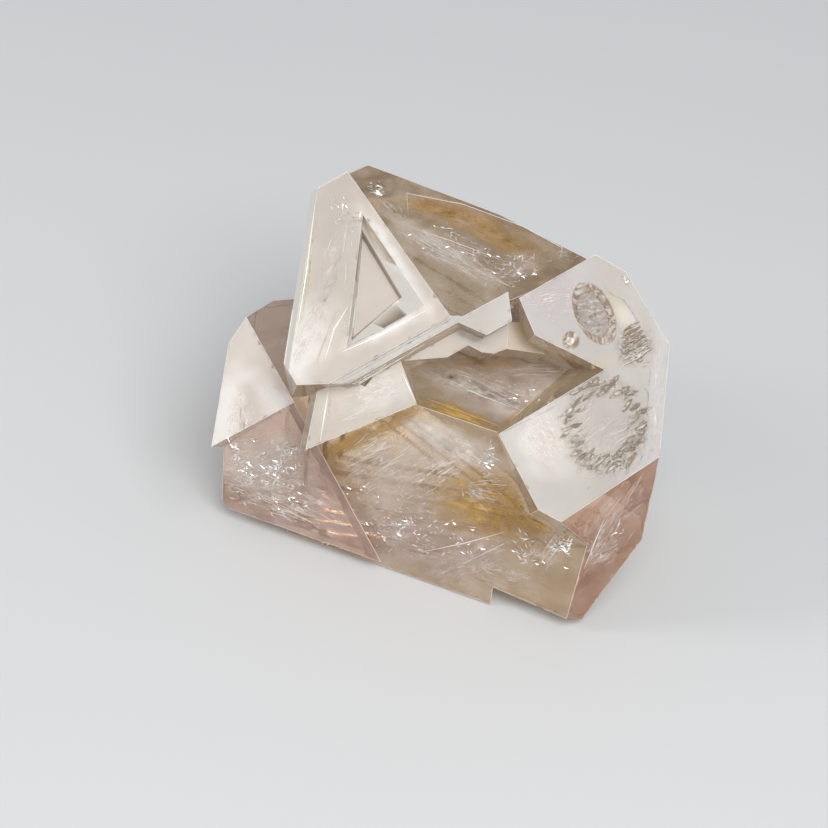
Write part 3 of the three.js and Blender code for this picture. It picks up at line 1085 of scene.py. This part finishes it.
def drop_corners(mesh, chosen):
    """Takes away the corners of a mesh that a function picks out of them all."""
    bm = bmesh.new()
    bm.from_mesh(mesh)
    bmesh.ops.delete(bm, geom=chosen(list(bm.verts)), context="VERTS")
    bm.to_mesh(mesh)
    bm.free()


def films(name, rows, depth, material):
    """Films as a piece, smooth all over."""
    mesh = film_mesh(name, rows, depth)
    for polygon in mesh.polygons:
        polygon.use_smooth = True
    return add_piece(name, mesh, material)


def lines(name, rows, material):
    """Lines as flat ribbons that narrow to a point at both ends."""
    vertices, faces = [], []
    for row in rows:
        first = len(vertices)
        last = len(row.points) - 1
        for i, (x, y) in enumerate(row.points):
            before, after = Vector(row.points[max(i - 1, 0)]), Vector(row.points[min(i + 1, last)])
            across = (after - before).normalized().orthogonal() * row.width / 2
            share = LINE_TIP if i in (0, last) else 1.0
            for side in (-share, share):
                point = on_facet(row.facet, x + side * across.x, y + side * across.y, LINE_DEPTH)
                vertices.append(TO_PART @ point)
        for corner in range(first, first + 2 * last, 2):
            faces.append((corner, corner + 2, corner + 3, corner + 1))
    mesh = bpy.data.meshes.new(name)
    mesh.from_pydata(vertices, [], faces)
    return add_piece(name, mesh, material)


def new_tree(name, **inputs):
    """A geometry tree with its named inputs, as a tree, a graph and what the tree is given."""
    tree = bpy.data.node_groups.new(name, "GeometryNodeTree")
    for label, kind in inputs.items():
        tree.interface.new_socket(label, in_out="INPUT", socket_type="NodeSocket" + kind)
    tree.interface.new_socket("Geometry", in_out="OUTPUT", socket_type="NodeSocketGeometry")
    graph = Graph(tree)
    return tree, graph, graph.add("NodeGroupInput").outputs


def end_tree(graph, geometry, material):
    """Turns what a tree has made into real mesh with its material, and hands it out."""
    solid = graph.add("GeometryNodeRealizeInstances", {"Geometry": geometry})
    finished = graph.add(
        "GeometryNodeSetMaterial", {"Geometry": solid.outputs[0], "Material": material}
    )
    graph.add("NodeGroupOutput", {"Geometry": finished.outputs[0]})


def grown(carrier, tree, name, **values):
    """What a node tree makes of an object, as a plain mesh in its place."""
    modifier = carrier.modifiers.new(tree.name, "NODES")
    modifier.node_group = tree
    for item in tree.interface.items_tree:
        if item.name in values and item.in_out == "INPUT":
            modifier[item.identifier] = values[item.name]
    bpy.context.view_layer.update()
    evaluated = carrier.evaluated_get(bpy.context.evaluated_depsgraph_get())
    mesh = bpy.data.meshes.new_from_object(evaluated)
    mesh.name = name
    bpy.data.objects.remove(carrier)
    return add_piece(name, mesh)


def edge_wires():
    """The crystal's long outer edges, drawn in a little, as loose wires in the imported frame."""
    bm = packed_solid()
    kept = [
        edge
        for edge in bm.edges
        if edge.calc_face_angle_signed(0) > EDGE_TURN and edge.calc_length() > EDGE_SHORTEST
    ]
    middle = sum(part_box("quartz_cluster"), Vector()) / 2
    ends = [middle + EDGE_SHRINK * (TO_PART @ vert.co - middle) for edge in kept for vert in edge.verts]
    bm.free()
    mesh = bpy.data.meshes.new("worn_edge_wires")
    mesh.from_pydata(ends, [(i, i + 1) for i in range(0, len(ends), 2)], [])
    return mesh


def worn_edges(material):
    """Painted highlights along the crystal's long edges, as thin pale rods."""
    tree, graph, given = new_tree("worn_edges", Wires="Geometry", Radius="Float", Material="Material")
    paths = graph.add("GeometryNodeMeshToCurve", {"Mesh": given["Wires"]})
    ring = graph.add(
        "GeometryNodeCurvePrimitiveCircle", {"Resolution": EDGE_SIDES, "Radius": given["Radius"]}
    )
    rods = graph.add(
        "GeometryNodeCurveToMesh",
        {"Curve": paths.outputs[0], "Profile Curve": ring.outputs[0], "Fill Caps": True},
    )
    end_tree(graph, rods.outputs[0], given["Material"])
    wires = add_piece("worn_edge_wires", edge_wires())
    return grown(wires, tree, "worn_edges", Radius=EDGE_RADIUS * MM, Material=material)


def flake_shape(name, length, width, bend):
    """A pointed flake, folded along its middle; length runs along x, and all are in millimetres."""
    tips = [(-length, 0, 0), (length, 0, 0)]
    sides = [(-0.2 * length, width, bend), (0.25 * length, -width, bend)]
    mesh = bpy.data.meshes.new(name)
    corners = [Vector(p) * MM for p in tips + sides + [(0, 0, 0)]]
    mesh.from_pydata(corners, [], [(0, 4, 2), (4, 1, 2), (0, 3, 4), (4, 3, 1)])
    return bpy.data.objects.new(name, mesh)


def flake_points(graph, given):
    """The places of the flakes, denser where the film is thick and its swarms are."""
    fade = graph.add("GeometryNodeInputNamedAttribute", {"Name": "fade"}, data_type="FLOAT")
    swarm = graph.add("ShaderNodeTexNoise", {"Scale": given["Swarm"], "Detail": 1.0})
    thick = graph.math("MULTIPLY", fade.outputs[0], graph.ramp(swarm.outputs["Fac"], *SWARM_EDGE))
    density = graph.math("MULTIPLY", thick, given["Density"])
    return graph.add(
        "GeometryNodeDistributePointsOnFaces",
        {"Mesh": given["Film"], "Density": density, "Seed": given["Seed"]},
    ).outputs


def flake_turns(graph, given, normal):
    """How each flake lies: along the film, but for a tilt and a spread of its own."""
    aim = graph.add("GeometryNodeInputNamedAttribute", {"Name": "aim"}, data_type="FLOAT_VECTOR")
    lying = graph.add(
        "FunctionNodeAxesToRotation",
        {"Primary Axis": normal, "Secondary Axis": aim.outputs[0]},
        primary_axis="Z",
        secondary_axis="X",
    )
    limit = graph.add(
        "ShaderNodeCombineXYZ", {"X": given["Tilt"], "Y": given["Tilt"], "Z": given["Spread"]}
    ).outputs[0]
    back = graph.add("ShaderNodeVectorMath", {0: limit, 1: (-1, -1, -1)}, operation="MULTIPLY")
    turn = graph.add(
        "FunctionNodeRandomValue",
        {"Min": back.outputs[0], "Max": limit, "Seed": given["Seed"]},
        data_type="FLOAT_VECTOR",
    )
    return graph.add(
        "FunctionNodeRotateRotation",
        {"Rotation": lying.outputs[0], "Rotate By": turn.outputs["Value"]},
        rotation_space="LOCAL",
    ).outputs[0]


def flake_sizes(graph, given):
    """How large each flake is. The node's 3rd and 4th sockets and its 2nd output are those of a number."""
    limits = {2: given["Smallest"], 3: given["Largest"], "Seed": given["Seed"]}
    return graph.add("FunctionNodeRandomValue", limits, data_type="FLOAT").outputs[1]


def scatter_tree():
    """Strews a flake over a film: as dense as the film is thick, lying along it."""
    sizes = dict.fromkeys(("Density", "Swarm", "Smallest", "Largest", "Tilt", "Spread"), "Float")
    tree, graph, given = new_tree(
        "strewn_flakes", Film="Geometry", Flake="Object", Seed="Int", Material="Material", **sizes
    )
    points = flake_points(graph, given)
    strewn = graph.add(
        "GeometryNodeInstanceOnPoints",
        {
            "Points": points["Points"],
            "Instance": graph.add("GeometryNodeObjectInfo", {"Object": given["Flake"]}).outputs["Geometry"],
            "Rotation": flake_turns(graph, given, points["Normal"]),
            "Scale": flake_sizes(graph, given),
        },
    )
    end_tree(graph, strewn.outputs[0], given["Material"])
    return tree


def sticks_out(vert):
    """Whether a corner of a flake hangs in the air past an edge of the crystal."""
    return gap_to_crystal(TO_GROWTH @ vert.co) > FLAKE_GAP or past_box(vert.co)


def strew(name, rows, depth, tree, shape, material, **settings):
    """Flakes strewn over films, as a plain mesh, without those that stick out past an edge."""
    carrier = add_piece(name + "_film", film_mesh(name + "_film", rows, depth))
    corners = len(shape.data.vertices)
    piece = grown(carrier, tree, name, Flake=shape, Material=material, Seed=SEED, **settings)
    bpy.data.objects.remove(shape)

    def loose(verts):
        flakes = [verts[i : i + corners] for i in range(0, len(verts), corners)]
        return [v for flake in flakes if any(map(sticks_out, flake)) for v in flake]

    drop_corners(piece.data, loose)
    return piece


# ---- Stage ----

FLOOR_GAP = 0.0002  # keeps the floor and the facet that rests on it apart
FLOOR_REACH = 1.5
FLOOR_GREY, FLOOR_WARM = (0.71, 0.71, 0.71, 1), (0.75, 0.745, 0.74, 1)
SKY_COLOUR = (0.9, 0.95, 1.0, 1)
SKY_STRENGTH = 0.42
LAMP_DISTANCE = 0.5
LAMP_TARGET = Vector((0, 0, 0.016))
CAMERA_RIGHT = Vector((0.99339, -0.04242, 0.10661))
CAMERA_UP = Vector((-0.05369, 0.64935, 0.75859))
CAMERA_BACK = Vector((-0.10141, -0.75930, 0.64279))
CAMERA_PLACE = Vector((-24.59, -172.59, 156.67)) * MM
CAMERA_LENS = 105.2
CAMERA_NEAR = 0.01
WINDOW_GLANCE = Vector((0.101, -0.588, 0.802))  # where a window mirrors the camera's line of sight
SIDE_GLANCE = Vector((-0.9, -0.1, 0.5))
LIGHT_BOUNCES = 12  # enough for light to leave the crystal again


def softbox(name, direction, size, power):
    """A rectangular lamp that looks at the crystal from a direction."""
    light = bpy.data.lights.new(name, "AREA")
    light.shape = "RECTANGLE"
    light.size, light.size_y = size
    light.energy = power
    lamp = bpy.data.objects.new(name, light)
    bpy.context.scene.collection.objects.link(lamp)
    place = LAMP_TARGET + LAMP_DISTANCE * direction.normalized()
    turn = (LAMP_TARGET - place).to_track_quat("-Z", "Y").to_matrix().to_4x4()
    lamp.matrix_world = Matrix.Translation(place) @ turn


def floor():
    """The plain pale ground, which the crystal just doesn't touch."""
    corners = [
        (x * FLOOR_REACH, y * FLOOR_REACH, -FLOOR_GAP) for x, y in ((-1, -1), (1, -1), (1, 1), (-1, 1))
    ]
    mesh = bpy.data.meshes.new("floor")
    mesh.from_pydata(corners, [], [(0, 1, 2, 3)])
    material, graph, shader = new_material("floor")
    clouds = graph.noise(graph.add("ShaderNodeTexCoord").outputs["Object"], 3.0)
    colour = graph.mix(graph.ramp(clouds, 0.3, 0.7), FLOOR_GREY, FLOOR_WARM)
    graph.feed(shader, {"Base Color": colour, "Roughness": 0.9})
    add_piece("floor", mesh, material)


def studio():
    """A soft sky, a lamp that the windows mirror, and a weaker one from the left."""
    world = bpy.data.worlds.new("studio")
    bpy.context.scene.world = world
    world.use_nodes = True
    background = world.node_tree.nodes["Background"]
    background.inputs["Color"].default_value = SKY_COLOUR
    background.inputs["Strength"].default_value = SKY_STRENGTH
    softbox("window_light", WINDOW_GLANCE, (0.3, 0.3), 1.7)
    softbox("side_light", SIDE_GLANCE, (0.12, 0.3), 0.5)


def camera():
    """Looks at the windows from the front and above."""
    data = bpy.data.cameras.new("camera")
    data.lens = CAMERA_LENS
    data.sensor_width = 36
    data.clip_start = CAMERA_NEAR
    view = bpy.data.objects.new("camera", data)
    bpy.context.scene.collection.objects.link(view)
    turn = Matrix((CAMERA_RIGHT, CAMERA_UP, CAMERA_BACK)).transposed()
    view.matrix_world = Matrix.Translation(CAMERA_PLACE) @ turn.to_4x4()
    bpy.context.scene.camera = view


def settle():
    """Plain colours, and light that reaches through the whole crystal."""
    scene = bpy.context.scene
    scene.view_settings.view_transform = "Standard"
    scene.cycles.max_bounces = LIGHT_BOUNCES
    scene.cycles.transmission_bounces = LIGHT_BOUNCES
    scene.cycles.transparent_max_bounces = LIGHT_BOUNCES


# ---- Build ----

surface = BVHTree.FromBMesh(packed_solid())
quartz = crystal()
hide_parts("quartz_cluster")

rust = film(
    "iron_stain", srgb(168, 124, 62), srgb(212, 172, 96), grain=0.7, cover=0.36, roughness=0.08
)
milk = film(
    "milky_veil", srgb(208, 180, 162), srgb(240, 230, 222), grain=1.6, cover=0.44, roughness=0.1
)
stains = films("iron_stains", STAINS, STAIN_DEPTH, rust)
veils = films("veils", VEILS, VEIL_DEPTH, milk)

tree = scatter_tree()
sparkles = strew(
    "sparkles",
    SPARKLES,
    FLAKE_DEPTH,
    tree,
    flake_shape("sparkle_flake", length=0.3, width=0.07, bend=0.05),
    flake_material("sparkling_crack", (0.98, 0.94, 0.88, 1), 0.15, metallic=0.7),
    Density=2.2e7,
    Swarm=900.0,
    Smallest=0.25,
    Largest=1.3,
    Tilt=0.5,
    Spread=1.1,
)
# dark flakes: painted shadow in the etched grooves and pits, and dark hairlines
etch_marks = strew(
    "etch_marks",
    ETCH_SHADOW_MARKS,
    FLAKE_DEPTH,
    tree,
    flake_shape("etch_flake", length=0.42, width=0.035, bend=0.01),
    flake_material("etched_shadow", srgb(140, 118, 92), 0.3),
    Density=4e7,
    Swarm=1500.0,
    Smallest=0.5,
    Largest=1.4,
    Tilt=0.05,
    Spread=0.3,
)
# pale flakes: partly painted highlights on etched grooves, partly pale streaks
strokes = strew(
    "pale_strokes",
    STROKES,
    VEIL_DEPTH,
    tree,
    flake_shape("pale_flake", length=0.8, width=0.02, bend=0.01),
    flake_material("pale_stroke", srgb(232, 220, 206), 0.25),
    Density=7e6,
    Swarm=420.0,
    Smallest=0.25,
    Largest=1.7,
    Tilt=0.03,
    Spread=0.2,
)
dark_lines = lines("dark_lines", DARK_LINES, flake_material("dark_line", srgb(92, 74, 54), 0.3))
# pale ribbons: partly painted highlights on step rims and edges
bright_lines = lines("bright_lines", BRIGHT_LINES, flake_material("bright_line", srgb(244, 238, 226), 0.2))
# thin pale rods along the long edges: painted edge highlights
edges = worn_edges(flake_material("painted_edge_highlight", srgb(238, 230, 218), 0.25))

slots = {
    "quartz": [quartz],
    "iron_stain": [stains, dark_lines],
    "veil": [etch_marks, veils, strokes],
    "sparkle": [bright_lines, sparkles, edges],
}
for slot, pieces in slots.items():
    for piece in pieces:
        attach(piece, "root")

floor()
studio()
camera()
settle()
